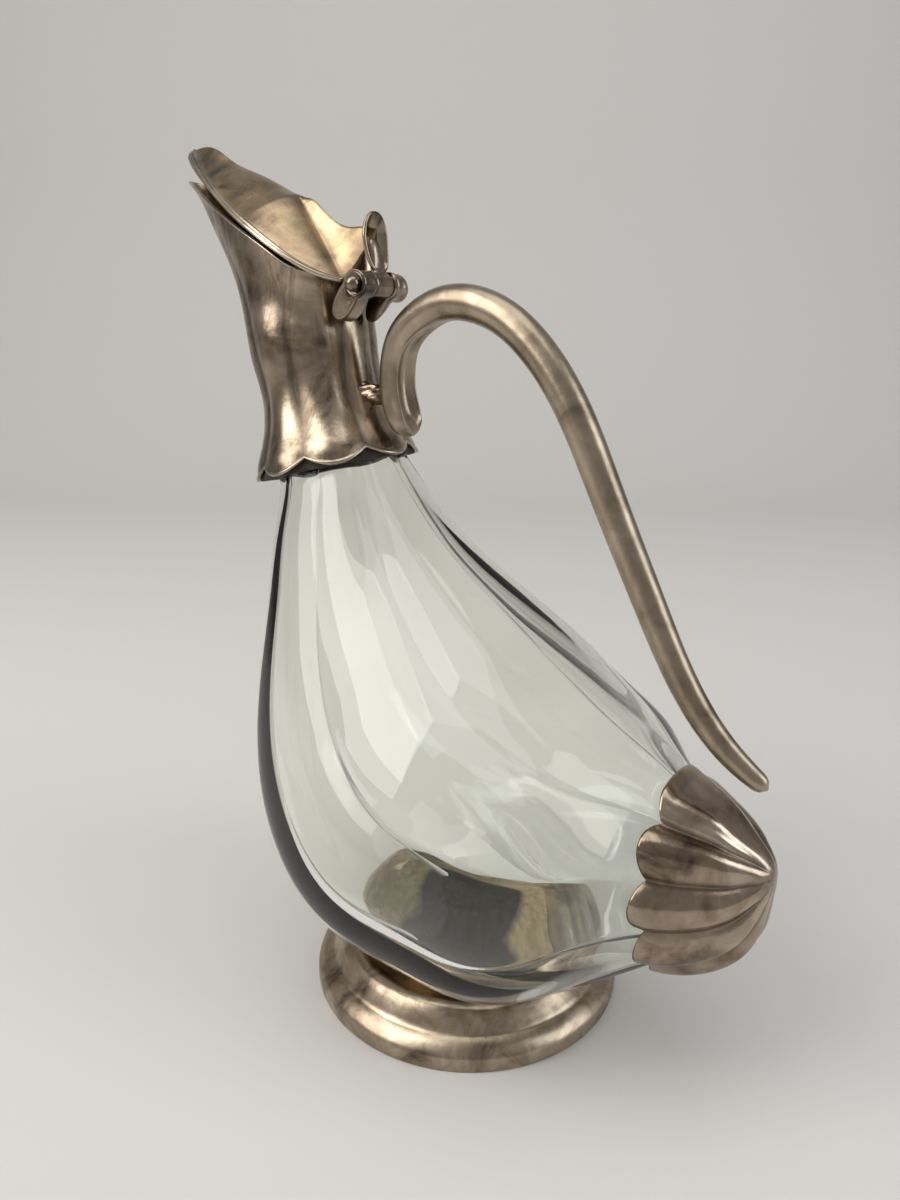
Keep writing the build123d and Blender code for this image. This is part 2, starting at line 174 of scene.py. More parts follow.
def half_round(x):
    """The height of a half-round bead over its width, 0 to 1."""
    return np.sqrt(np.clip(1 - (2 * x - 1) ** 2, 0, 1))


def squared(wave, power):
    """A sine or cosine drawn towards a square by a power below 1."""
    return np.sign(wave) * np.abs(wave) ** power


def round_off(past, over):
    """A share of the full size that drops like a quarter of a circle from past = 0 to past = over."""
    return np.sqrt(1 - np.clip(past / over, 0, 1) ** 2)


def read_table(rows, along):
    """Values of a table read by its first column."""
    rows = np.array(rows)
    share = (along - rows[0, 0]) / (rows[-1, 0] - rows[0, 0])
    return spline(rows, share, 1)


def skin(name, points, ends="poles", attributes=()):
    """A closed mesh over points (rings, around, 3) in millimetres; its ends are poles, or they meet."""
    rings, around = points.shape[:2]
    vertices = [tuple(p * MM) for p in points.reshape(-1, 3)]
    faces = []
    for r in range(rings if ends == "meet" else rings - 1):
        for i in range(around):
            j, s = (i + 1) % around, (r + 1) % rings
            faces.append((r * around + i, r * around + j, s * around + j, s * around + i))
    if ends == "poles":
        for r in (0, rings - 1):
            pole = len(vertices)
            vertices.append(tuple(points[r].mean(axis=0) * MM))
            for i in range(around):
                faces.append((r * around + i, r * around + (i + 1) % around, pole))
    mesh = bpy.data.meshes.new(name)
    mesh.from_pydata(vertices, [], faces)
    for label, kind, values in attributes:
        layer = mesh.attributes.new(label, kind, "POINT")
        flat = np.array(values, float).reshape(rings * around, -1)
        width = flat.shape[1]
        padded = np.zeros((len(vertices), width))
        padded[: len(flat)] = flat
        layer.data.foreach_set("vector" if width == 3 else "value", padded.ravel())
    face_outwards(mesh)
    piece = bpy.data.objects.new(name, mesh)
    bpy.context.collection.objects.link(piece)
    return piece


def face_outwards(mesh):
    """Turns every face of a closed mesh outwards and shades it smooth."""
    work = bmesh.new()
    work.from_mesh(mesh)
    bmesh.ops.remove_doubles(work, verts=work.verts, dist=1e-7)
    bmesh.ops.recalc_face_normals(work, faces=work.faces)
    if work.calc_volume(signed=True) < 0:
        bmesh.ops.reverse_faces(work, faces=work.faces)
    work.to_mesh(mesh)
    work.free()
    mesh.shade_smooth()


def turns(around):
    """Angles once round, in even steps."""
    return np.arange(around) * 2 * pi / around


def grid_of(levels, around):
    """t along the rings and turn around them, as two grids."""
    t = np.asarray(levels, float)[:, None] * np.ones(around)
    return t, np.ones((len(levels), 1)) * turns(around)


def finish_piece(piece, body, nodes, material):
    """Sets a piece's material, tells the frame what it rides on, and hides the nodes it stands for."""
    piece.data.materials.clear()
    piece.data.materials.append(material)
    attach(piece, body)
    if nodes:
        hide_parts(*nodes)


# ---------------------------------------------------------------- node helper
class Nodes:
    """A short way to write node trees: put() adds a node, sets its properties and feeds its sockets."""

    def __init__(self, tree):
        self.tree = tree

    def put(self, kind, *inputs, **settings):
        node = self.tree.nodes.new(kind)
        sockets = {key: value for key, value in settings.items() if not hasattr(node, key)}
        for key, value in settings.items():
            if key not in sockets:
                setattr(node, key, value)
        for socket, value in zip(node.inputs, inputs):
            self.feed(socket, value)
        for key, value in sockets.items():
            self.feed(node.inputs[key], value)
        return node

    def attribute(self, name, kind):
        node = self.put("GeometryNodeInputNamedAttribute", Name=name, data_type=kind)
        return node.outputs["Attribute"]

    def feed(self, socket, value):
        if isinstance(value, bpy.types.Node):
            value = value.outputs[0]
        if isinstance(value, bpy.types.NodeSocket):
            self.tree.links.new(value, socket)
        elif value is not None:
            socket.default_value = value

    def math(self, operation, a, b=None, clamp=False):
        node = self.tree.nodes.new("ShaderNodeMath")
        node.operation, node.use_clamp = operation, clamp
        self.feed(node.inputs[0], a)
        if b is not None:
            self.feed(node.inputs[1], b)
        return node


# ---------------------------------------------------------------- flutes
HOLLOW_GAIN = 18.0      # how soon a valley's tarnish reaches full strength as its crease gets deeper


def flute_tree():
    """Presses creases into a smooth skin: the more, the nearer a point lies to the line between two lobes."""
    tree = bpy.data.node_groups.new("flutes", "GeometryNodeTree")
    face = tree.interface
    face.new_socket("Geometry", in_out="INPUT", socket_type="NodeSocketGeometry")
    for label in ("Lobes", "Phase", "Softness"):
        face.new_socket(label, in_out="INPUT", socket_type="NodeSocketFloat")
    face.new_socket("Finish", in_out="INPUT", socket_type="NodeSocketMaterial")
    face.new_socket("Geometry", in_out="OUTPUT", socket_type="NodeSocketGeometry")
    n = Nodes(tree)
    given = tree.nodes.new("NodeGroupInput").outputs
    turn, depth = n.attribute("turn", "FLOAT"), n.attribute("crease", "FLOAT")
    inward = n.attribute("inward", "FLOAT_VECTOR")
    half_turns = n.math("MULTIPLY", n.math("MULTIPLY", turn, given["Lobes"]), 0.5)
    wave = n.math("COSINE", n.math("ADD", half_turns, given["Phase"]))
    soft = n.math("MULTIPLY", given["Softness"], given["Softness"])
    rounded = n.math("SQRT", n.math("ADD", n.math("MULTIPLY", wave, wave), soft))
    press = n.math("MAXIMUM", n.math("SUBTRACT", 1.0, rounded), 0.0)
    amount = n.math("MULTIPLY", press, depth)
    offset = n.put("ShaderNodeVectorMath", operation="SCALE")
    n.feed(offset.inputs[0], inward)
    n.feed(offset.inputs["Scale"], amount)
    moved = n.put("GeometryNodeSetPosition")
    n.feed(moved.inputs["Geometry"], given["Geometry"])
    n.feed(moved.inputs["Offset"], offset)
    kept = n.put("GeometryNodeStoreNamedAttribute", data_type="FLOAT", domain="POINT")
    n.feed(kept.inputs["Geometry"], moved)
    n.feed(kept.inputs["Name"], "tarnish_and_painted_shade")
    valley = n.math("MULTIPLY", n.math("MULTIPLY", press, press), press)
    steepness = n.math("MULTIPLY", depth, HOLLOW_GAIN, clamp=True)
    n.feed(kept.inputs["Value"], n.math("MULTIPLY", valley, steepness))
    real = n.put("GeometryNodeRealizeInstances", kept)
    painted = n.put("GeometryNodeSetMaterial", real)
    n.feed(painted.inputs["Material"], given["Finish"])
    out = tree.nodes.new("NodeGroupOutput")
    tree.links.new(painted.outputs[0], out.inputs[0])
    return tree


def fluted(piece, lobes, phase, softness, material):
    """Presses the flutes into a piece and leaves it as a plain mesh."""
    modifier = piece.modifiers.new("flutes", "NODES")
    modifier.node_group = FLUTES
    values = {"Lobes": lobes, "Phase": phase, "Softness": softness, "Finish": material}
    for item in FLUTES.interface.items_tree:
        if item.in_out == "INPUT" and item.name in values:
            modifier[item.identifier] = values[item.name]
    piece.data.update()
    evaluated = piece.evaluated_get(bpy.context.evaluated_depsgraph_get())
    mesh = bpy.data.meshes.new_from_object(evaluated)
    piece.modifiers.remove(modifier)
    piece.data = mesh
    face_outwards(mesh)


FLUTES = flute_tree()


# ---------------------------------------------------------------- materials
def shader(name):
    """A new material with its nodes and its Principled shader."""
    material = bpy.data.materials.new(name)
    material.use_nodes = True
    n = Nodes(material.node_tree)
    return material, n, material.node_tree.nodes["Principled BSDF"]


def place(n, scale=(1, 1, 1)):
    """Object coordinates, stretched by scale."""
    coordinates = n.put("ShaderNodeTexCoord")
    mapping = n.put("ShaderNodeMapping")
    n.feed(mapping.inputs["Vector"], coordinates.outputs["Object"])
    mapping.inputs["Scale"].default_value = scale
    return mapping


def noise(n, where, scale, detail=6.0, roughness=0.6, distortion=0.0):
    """The grey of a noise texture."""
    node = n.put("ShaderNodeTexNoise", Scale=scale, Detail=detail, Roughness=roughness, Distortion=distortion)
    n.feed(node.inputs["Vector"], where)
    return node.outputs["Fac"]


def ramp(n, value, stops):
    """A colour ramp from (position, grey or colour) stops."""
    node = n.put("ShaderNodeValToRGB")
    n.feed(node.inputs["Fac"], value)
    elements = node.color_ramp.elements
    while len(elements) < len(stops):
        elements.new(1.0)
    for element, (position, colour) in zip(elements, stops):
        element.position = position
        grey = isinstance(colour, float)
        element.color = (colour, colour, colour, 1) if grey else (*colour, 1)
    return node.outputs["Color"]


def blend_colour(n, factor, a, b):
    """Colour a where factor is 0, and colour b where it is 1."""
    node = n.put("ShaderNodeMix", data_type="RGBA", blend_type="MIX")
    n.feed(node.inputs["Factor"], factor)
    n.feed(node.inputs["A"], a)
    n.feed(node.inputs["B"], b)
    return node.outputs["Result"]


def stretch(n, value, first, last, to_first=0.0, to_last=1.0):
    """A value spread from first..last to to_first..to_last, and held at its ends."""
    node = n.put("ShaderNodeMapRange")
    n.feed(node.inputs["Value"], value)
    for label, number in zip(("From Min", "From Max", "To Min", "To Max"), (first, last, to_first, to_last)):
        node.inputs[label].default_value = number
    return node.outputs["Result"]


def bump(n, principled, height, strength, distance):
    """Small relief on a shader."""
    node = n.put("ShaderNodeBump", Strength=strength, Distance=distance)
    n.feed(node.inputs["Height"], height)
    n.feed(principled.inputs["Normal"], node)


RUBBED_PLATE, RUBBED_SHARE = (0.72, 0.64, 0.53, 1), 0.9
# how much darker, and how strongly, the plate goes in tarnished valleys and in the lid's painted shade
TARNISH_AND_SHADE_DARKER, TARNISH_AND_SHADE_SHARE = np.array([0.45, 0.42, 0.42]), 0.75
STAIN_SCALE, DENT_SCALE, GRAIN_SCALE = 1.6, 160.0, 1900.0
DENT_RELIEF, GRAIN_RELIEF = 0.7, 0.12


def silver_plate(name, light, middle, dark, streak=(1, 1, 0.25), tarnish=0.5, rough=(0.20, 0.42), patch=55.0):
    """Worn silver plate: warm patches, dark tarnish in blotches and hollows, painted shade where a piece
    marks it, rubbed edges, fine scratches.
    """
    material, n, principled = shader(name)
    where = place(n)
    streaks = place(n, streak)
    patches = noise(n, where, patch, 8.0, 0.62, 0.6)
    blotches = noise(n, streaks, patch * STAIN_SCALE, 10.0, 0.7, 1.2)
    colour = ramp(n, patches, [(0.32, dark), (0.46, middle), (0.62, light), (0.80, middle)])
    stain = ramp(n, blotches, [(0.50, 0.0), (0.66, 1.0)])
    stained = blend_colour(n, n.math("MULTIPLY", stain, tarnish), colour, (*dark, 1))
    # this attribute holds tarnish in the flutes' valleys, and painted shade on the lid
    tarnish_and_painted_shade = n.put("ShaderNodeAttribute", attribute_name="tarnish_and_painted_shade").outputs["Fac"]
    deep = n.math("MULTIPLY", tarnish_and_painted_shade, TARNISH_AND_SHADE_SHARE, clamp=True)
    tarnished_and_shaded = blend_colour(n, deep, stained, (*(dark * TARNISH_AND_SHADE_DARKER), 1))
    edge = n.put("ShaderNodeAttribute", attribute_name="edge").outputs["Fac"]
    rubbed = n.math("MULTIPLY", edge, n.math("MULTIPLY", patches, RUBBED_SHARE), clamp=True)
    n.feed(principled.inputs["Base Color"], blend_colour(n, rubbed, tarnished_and_shaded, RUBBED_PLATE))
    principled.inputs["Metallic"].default_value = 1.0
    dullness = n.math("ADD", n.math("MULTIPLY", blotches, 0.6), n.math("MULTIPLY", tarnish_and_painted_shade, 0.4))
    n.feed(principled.inputs["Roughness"], stretch(n, dullness, 0.2, 0.75, *rough))
    dents = noise(n, where, DENT_SCALE, 3.0, 0.5)
    grain = noise(n, place(n, (1, 1, 0.2)), GRAIN_SCALE, 4.0, 0.7)
    relief = n.math("ADD", n.math("MULTIPLY", dents, DENT_RELIEF), n.math("MULTIPLY", grain, GRAIN_RELIEF))
    bump(n, principled, relief, 0.35, 0.6 * MM)
    return material


GLASS_TINT, GLASS_IOR, GLASS_SMEAR = (0.97, 0.985, 0.945, 1), 1.46, 0.07


def clear_glass():
    """Clear pressed glass with faint smears and a trace of green in its colour."""
    material, n, principled = shader("clear_glass")
    principled.inputs["Base Color"].default_value = GLASS_TINT
    principled.inputs["Transmission Weight"].default_value = 1.0
    principled.inputs["IOR"].default_value = GLASS_IOR
    where = place(n)
    smear = noise(n, where, 28.0, 6.0, 0.65, 1.5)
    n.feed(principled.inputs["Roughness"], stretch(n, smear, 0.45, 0.8, 0.0, GLASS_SMEAR))
    bump(n, principled, noise(n, where, 45.0, 2.0, 0.5), 0.12, 0.6 * MM)
    return material


CEMENT_SHADES = [(0.35, (0.012, 0.010, 0.009)), (0.6, (0.05, 0.038, 0.03)), (0.8, (0.14, 0.11, 0.08))]
GILT_SHADES = [(0.3, (0.30, 0.22, 0.11)), (0.7, (0.62, 0.50, 0.30))]
SEAT_RING, SEAT_RING_EDGE = 19.0, 2.5


def cement(name, ring_radius=None):
    """Dark, crumbly set plaster, and beyond ring_radius from the jug's upright axis the gilt around it."""
    material, n, principled = shader(name)
    where = place(n)
    grit = noise(n, where, 420.0, 8.0, 0.7)
    colour = ramp(n, grit, CEMENT_SHADES)
    if ring_radius:
        flat = n.put("ShaderNodeVectorMath", place(n, (1, 1, 0)), operation="LENGTH").outputs["Value"]
        ring = stretch(n, flat, ring_radius * MM, (ring_radius + SEAT_RING_EDGE) * MM)
        colour = blend_colour(n, ring, colour, ramp(n, grit, GILT_SHADES))
    n.feed(principled.inputs["Base Color"], colour)
    principled.inputs["Roughness"].default_value = 0.85
    bump(n, principled, grit, 0.8, 0.8 * MM)
    return material


PLATE = ((0.50, 0.41, 0.31), (0.31, 0.245, 0.18), (0.075, 0.055, 0.042))
collar_finish = silver_plate("collar_plate", *PLATE, streak=(1, 1, 0.18), tarnish=0.85)
foot_finish = silver_plate("foot_plate", *PLATE, streak=(1, 1, 1), tarnish=0.45, rough=(0.27, 0.44))
handle_finish = silver_plate(
    "handle_plate", (0.42, 0.35, 0.265), (0.31, 0.25, 0.185), (0.15, 0.115, 0.085),
    tarnish=0.3, rough=(0.28, 0.40))
cap_finish = silver_plate(
    "cap_plate", (0.46, 0.385, 0.31), (0.31, 0.24, 0.175), (0.09, 0.068, 0.055),
    streak=(0.3, 1, 1), tarnish=0.35, rough=(0.16, 0.32))
hinge_finish = silver_plate(
    "hinge_plate", (0.40, 0.32, 0.25), (0.26, 0.205, 0.16), (0.06, 0.048, 0.04), tarnish=0.6)
lid_finish = silver_plate(
    "lid_gilt", (0.47, 0.35, 0.21), (0.33, 0.245, 0.155), (0.13, 0.10, 0.075),
    streak=(1, 1, 1), tarnish=0.4, rough=(0.26, 0.44), patch=70.0)
spoon_finish = silver_plate(
    "spoon_plate", (0.44, 0.36, 0.28), (0.30, 0.24, 0.18), (0.10, 0.08, 0.065),
    tarnish=0.3, rough=(0.12, 0.26))
glass_finish = clear_glass()
cement_finish = cement("cement")
seat_finish = cement("seat_cement", SEAT_RING)


# ---------------------------------------------------------------- glass body
def glass_rings(t, turn, wall):
    """The glass's skin, wall below its outside, from its open neck to the end of its tail."""
    neck = [neck_row(GLASS_NECK_TOP, GLASS_NECK_RADIUS), neck_row(GLASS_NECK_TOP / 2, GLASS_THROAT_RADIUS)]
    rows = neck + GLASS_STATIONS
    data = spline([row + (0.0,) * (6 - len(row)) for row in rows], t)
    return section(data, turn, -wall, GLASS_FULLNESS, taper=data[..., 5])


def make_glass():
    """The vessel: its outside from the tail to the neck, then its inside from the neck to the tail."""
    around, count = 200, 150
    t, turn = grid_of(np.linspace(1, 0, count), around)
    outside, inward = glass_rings(t, turn, 0.0)
    t_in, turn_in = grid_of(np.linspace(0, GLASS_INSIDE_END, count), around)
    low = np.clip((t_in - GLASS_BASE_START) / GLASS_BASE_FADE, 0, 1) * np.clip(-np.cos(turn_in), 0, 1)
    inside, inward_in = glass_rings(t_in, turn_in, GLASS_WALL + (GLASS_BASE_WALL - GLASS_WALL) * low)
    crease = GLASS_CREASE * np.clip(t / GLASS_FADE, 0, 1)
    crease_in = GLASS_CREASE * GLASS_INNER_CREASE * np.clip(t_in / GLASS_FADE, 0, 1) * (1 - low)
    piece = skin("glass_vessel", np.concatenate([outside, inside]), "poles", [
        ("turn", "FLOAT", np.concatenate([turn, turn_in])),
        ("crease", "FLOAT", np.concatenate([crease, crease_in])),
        ("inward", "FLOAT_VECTOR", np.concatenate([inward, inward_in]) * MM)])
    fluted(piece, GLASS_LOBES, pi / 2, GLASS_SOFTNESS, glass_finish)
    finish_piece(piece, "jug", ["glass_body"], glass_finish)


# ---------------------------------------------------------------- neck collar
def make_collar():
    """The collar, with a scalloped hem and a lip that is rolled and waved."""
    around = 256
    rows = [neck_row(rise, radius) + (0.0, COLLAR_CREASE, 0.0, 0.0) for rise, radius in COLLAR_RINGS]
    rows += COLLAR_STATIONS
    t, turn = grid_of(np.concatenate([np.linspace(*run) for run in COLLAR_LEVELS]), around)
    cusp = 1 - np.abs(np.cos(COLLAR_LOBES * turn / 2))
    raised = t + (1 - t) ** SCALLOP_FALL * cusp * SCALLOP / COLLAR_LENGTH
    data = spline(rows, raised)
    taper, crease, corners, pinch = np.moveaxis(data[..., 5:9], -1, 0)
    rolled = half_round(np.clip((1 - t) * COLLAR_LENGTH / LIP_WIDTH, 0, 1))
    rolled += half_round(np.clip(t * COLLAR_LENGTH / HEM_WIDTH, 0, 1))
    outside, inward = section(data, turn, LIP_ROLL * rolled, 0.0, taper, corners, pinch)
    inside, inward_in = section(data, turn, -COLLAR_WALL, 0.0, taper, corners, pinch)
    points = np.concatenate([outside, inside[::-1]])
    t = np.concatenate([t, t[::-1]])
    reach = (points[..., 0] - MOUTH_REAR[0]) * ALONG[0] + (points[..., 2] - MOUTH_REAR[1]) * ALONG[1]
    lift = read_table(MOUTH_LIP, np.clip(reach, 0, MOUTH_LIP[-1][0]))[..., 1]
    lift = lift * smooth((t - LIP_START) / LIP_FADE)
    points[..., 0] += UP[0] * lift
    points[..., 2] += UP[1] * lift
    piece = skin("collar", points, "meet", [
        ("turn", "FLOAT", np.concatenate([turn, turn])),
        ("crease", "FLOAT", np.concatenate([crease, crease[::-1]])),
        ("edge", "FLOAT", np.concatenate([rolled, np.zeros_like(rolled)])),
        ("inward", "FLOAT_VECTOR", np.concatenate([inward, inward_in[::-1]]) * MM)])
    fluted(piece, COLLAR_LOBES, 0.0, COLLAR_SOFTNESS, collar_finish)
    finish_piece(piece, "jug", ["neck_collar"], collar_finish)


# ---------------------------------------------------------------- tail cap
def cap_rings(t, turn, wall):
    """The cap's skin: a scalloped rim, and a broad dished lobe on top with a raised edge each side."""
    degrees = np.abs((np.degrees(turn) + 180) % 360 - 180)
    lobe = np.where(degrees < TOP_SMOOTH, 1.0, np.abs(np.sin(CAP_LOBES * turn / 2)))
    t = t + (1 - t) ** CAP_SCALLOP_FALL * (1 - lobe**0.7) * CAP_SCALLOP
    window = smooth(t / DISH_RIM_FADE) * smooth((DISH_END - t) / DISH_FADE)
    dish = CAP_DISH * np.exp(-((degrees / DISH_REACH) ** 2)) * window
    ridge = np.exp(-(((degrees - RIDGE_PLACE) / RIDGE_WIDTH) ** 2)) * smooth((RIDGE_END - t) / RIDGE_FADE)
    puff = CAP_PUFF * np.where(degrees > PUFF_START, lobe, 0) * smooth((PUFF_END - t) / PUFF_FADE)
    data = spline(CAP_STATIONS, t)
    points, inward = section(data, turn, puff + CAP_RIDGE * ridge - dish - wall, taper=CAP_TAPER)
    crease = np.where(degrees < TOP_SMOOTH, 0.0, CAP_CREASE) * np.clip((1 - t) / CAP_CREASE_FADE, 0, 1) ** 0.5
    return points, inward, crease, ridge, turn


def cap_shell(name, depth, wall, first, last, finish, node):
    """A fluted shell along the cap's skin, depth below it and wall thick, from share first to share last."""
    around = 240
    layers = [cap_rings(*grid_of(np.linspace(last, first, 70), around), depth),
              cap_rings(*grid_of(np.linspace(first, last - CAP_TIP_SHARE, 50), around), depth + wall)]
    points, inward, crease, ridge, turn = (np.concatenate(part) for part in zip(*layers))
    piece = skin(name, points, "poles", [
        ("turn", "FLOAT", turn), ("crease", "FLOAT", crease), ("edge", "FLOAT", ridge),
        ("inward", "FLOAT_VECTOR", inward * MM)])
    fluted(piece, CAP_LOBES, pi / 2, CAP_SOFTNESS, finish)
    finish_piece(piece, "jug", [node], finish)


def make_cap():
    cap_shell("cap", 0.0, CAP_WALL, 0.0, 1.0, cap_finish, "tail_cap")
    cap_shell("cap_plaster", CAP_WALL + PLASTER_GAP, PLASTER_WALL, PLASTER_START, PLASTER_END, cement_finish,
              "tail_cement")


# ---------------------------------------------------------------- foot
def make_foot():
    """A spun shell: the profile turned once round the upright axis."""
    around = 192
    radius, height = np.array(FOOT_PROFILE).T
    turn = turns(around)
    points = np.stack([np.outer(radius, np.cos(turn)), np.outer(radius, np.sin(turn)),
                       np.outer(height, np.ones(around))], -1)
    piece = skin("foot_shell", points, "meet")
    bevel = piece.modifiers.new("rounded", "BEVEL")
    bevel.width, bevel.segments = FOOT_ROUNDING * MM, 3
    bevel.limit_method, bevel.angle_limit = "ANGLE", FOOT_CORNER
    finish_piece(piece, "jug", ["foot"], foot_finish)


# ---------------------------------------------------------------- handle
# from the root: x, z, half-depth, half-width
HANDLE_PATH = [
    (-25.4, 186.4, 2.7, 5.0), (-28.4, 190.8, 3.6, 5.6), (-31.2, 197.5, 4.1, 5.7), (-31.9, 206.0, 4.2, 5.7),
    (-29.2, 216.0, 4.7, 5.5), (-21.2, 223.1, 5.3, 5.4), (-13.8, 226.2, 5.4, 5.4), (-5.9, 226.9, 5.4, 5.4),
    (8.6, 222.8, 5.3, 5.3), (21.1, 213.4, 5.2, 5.2), (33.0, 198.3, 5.1, 5.1), (44.3, 177.4, 4.9, 4.9),
    (61.3, 145.1, 4.5, 4.5), (74.5, 122.7, 4.1, 4.1), (85.9, 110.0, 3.6, 3.6), (92.8, 105.0, 3.1, 3.1),
    (98.6, 101.6, 2.5, 2.5),
]
# how far along the handle the strap goes, how square its section gets, the groove's depth over the strap's
# half-depth, and the ribs' height over the groove's depth
STRAP_SHARE, STRAP_SQUARE, GROOVE_DEPTH, RIB_HEIGHT = 0.30, 0.42, 0.62, 0.35
GROOVE_WIDTH, RIB_PLACE, RIB_WIDTH = 0.34, 0.72, 0.16       # over the strap's half-width
# shares of the handle's length: over what the groove grows in, and where and over what the two ends round off
GROOVE_FADE, TIP_START, TIP_ROUND, ROOT_END, ROOT_ROUND = 0.035, 0.985, 0.0151, 0.022, 0.0221
PATH_STEP = 1e-3


def make_handle():
    """A round rod that flattens near its root into a strap with a groove between two ribs."""
    around, count = 96, 240
    t, turn = grid_of(np.linspace(0, 1, count) ** 1.2, around)
    rows = spline(HANDLE_PATH, t, 2)
    after, before = np.clip(t + PATH_STEP, 0, 1), np.clip(t - PATH_STEP, 0, 1)
    ahead = spline(HANDLE_PATH, after, 2) - spline(HANDLE_PATH, before, 2)
    direction = ahead[..., :2] / np.linalg.norm(ahead[..., :2], axis=-1)[..., None]
    outward = np.stack([direction[..., 1], -direction[..., 0]], -1)
    strap = smooth((STRAP_SHARE - t) / STRAP_SHARE)
    depth, width = rows[..., 2], rows[..., 3]
    square = 1 - STRAP_SQUARE * strap
    across = squared(np.sin(turn), square) * width
    level = squared(np.cos(turn), square)
    rib = RIB_HEIGHT * np.exp(-(((np.abs(np.sin(turn)) - RIB_PLACE) / RIB_WIDTH) ** 2))
    groove = np.exp(-((np.sin(turn) / GROOVE_WIDTH) ** 2)) - rib
    level = np.where(np.cos(turn) > 0, level - GROOVE_DEPTH * strap * smooth(t / GROOVE_FADE) * groove, level)
    end = round_off(t - TIP_START, TIP_ROUND) * round_off(ROOT_END - t, ROOT_ROUND)
    points = np.stack([rows[..., 0] + outward[..., 0] * level * depth * end, across * end,
                       rows[..., 1] + outward[..., 1] * level * depth * end], -1)
    piece = skin("handle_arch", points, "poles")
    finish_piece(piece, "jug", ["handle"], handle_finish)


BOSS_START, BOSS_LENGTH, BOSS_HEIGHT, BOSS_WAIST, BOSS_FLARE = -47.5, 15.0, 198.6, 3.3, 2.4
# ripples on the lump: height, waves around, waves along, phase
BOSS_RIPPLES = [(0.35, 3, 5, 0), (0.25, 5, -9, 1), (0.15, 9, 17, 0)]
BOSS_END, BOSS_ROUND = 0.88, 0.1201


def make_boss():
    """The lump of solder between the handle's root and the collar."""
    around, count = 60, 26
    t, turn = grid_of(np.linspace(0, 1, count), around)
    outer = np.abs(2 * t - 1)
    radius = BOSS_WAIST + BOSS_FLARE * outer**2.5
    for height, waves, along, phase in BOSS_RIPPLES:
        radius = radius + height * np.sin(waves * turn + along * t + phase)
    radius = radius * round_off(outer - BOSS_END, BOSS_ROUND)
    x, z = BOSS_START + BOSS_LENGTH * t, BOSS_HEIGHT + radius * np.sin(turn)
    points = np.stack([x, radius * np.cos(turn), z], -1)
    piece = skin("solder_boss", points, "poles")
    finish_piece(piece, "jug", ["handle_boss"], hinge_finish)


# ---------------------------------------------------------------- lid
# along the mouth, half-width, rim height above the mouth's plane
LID_RIM = [
    (-5.5, 9.6, -0.2), (-3.0, 13.0, -0.4), (2.0, 16.8, -0.4), (8.5, 19.8, 0.3), (15.0, 21.4, 1.2),
    (22.0, 22.0, 2.1), (36.0, 20.4, 3.2), (52.0, 16.2, 4.6), (66.0, 12.0, 6.3), (76.0, 8.2, 7.3),
    (82.0, 5.4, 8.0), (86.0, 2.6, 8.6), (87.6, 0.6, 8.8),
]
# along the mouth, height of the crest
LID_CREST = [
    (-5.5, 17.0), (-2.0, 16.2), (1.3, 15.2), (5.2, 13.6), (10.6, 12.8), (19.7, 14.7), (24.6, 15.8),
    (29.5, 14.6), (36.0, 13.7), (46.0, 13.9), (58.0, 13.3), (66.0, 13.3), (75.0, 14.2), (80.0, 13.4),
    (84.0, 11.6), (87.6, 9.4),
]
FOLD_START, FOLD_LENGTH, FOLD_WIDTH, FOLD_LOW = 31.0, 35.0, 8.4, 0.6
BEAK_START, BEAK_FADE = 56.0, 20.0
DOME_POWER, FLANK_POWER = 1.75, 1.35
LID_WALL, LID_UNDERSIDE = 1.2, 0.86
# the bead along the rim: its radius, and how much, from where and over what it grows towards the beak
LID_BEAD, BEAD_GROWTH, BEAD_START, BEAD_FADE = 0.75, 0.9, 52, 28
# the bead over its radius: how far its upper edge is raised, its drop, and the widths that it and its rubbed
# band take from the leaf; and how far round it goes, in right angles either way
BEAD_LIFT, BEAD_DROP, BEAD_BAND, RUBBED_BAND, BEAD_ARC = 0.75, 0.1, 1.2, 2.2, 1.35
# painted shade on the beak and on the fin by the hinge, on top, and over the whole underside: depth, where
# along the mouth it sets in, and over what
BEAK_PAINTED_SHADE, FIN_PAINTED_SHADE, UNDERSIDE_PAINTED_SHADE = (0.55, 58, 16), (0.75, 2, 8), 0.6
NOT_ZERO = 0.01


def crest_at_fold():
    return float(read_table(LID_CREST, np.array(FOLD_START))[1])


def lid_top(along, side, half, rim):
    """Height of the lid's face: a domed leaf, folded up near the hinge into a narrow fin."""
    crest = read_table(LID_CREST, along)[..., 1]
    back = np.clip((FOLD_START - along) / FOLD_LENGTH, 0, 1)
    fold = FOLD_WIDTH * back
    leaf = np.where(back > 0, FOLD_LOW + (crest_at_fold() - FOLD_LOW) * (1 - back), crest)
    y = np.abs(side)
    out = np.clip((y - fold) / np.maximum(half - fold, NOT_ZERO), 0, 1)
    beak = smooth((along - BEAK_START) / BEAK_FADE)
    height = rim + (leaf - rim) * ((1 - out**DOME_POWER) * (1 - beak) + (1 - out) ** FLANK_POWER * beak)
    fin = (crest - leaf) * (1 - np.clip(y / np.maximum(fold, NOT_ZERO), 0, 1)) ** FLANK_POWER
    return height + np.where(y < fold, fin, 0)


def lid_place(along, side, height):
    """A point of the lid in the jug's frame."""
    x = MOUTH_REAR[0] + ALONG[0] * along + UP[0] * height
    z = MOUTH_REAR[1] + ALONG[1] * along + UP[1] * height
    return np.stack([x, side, z], -1)


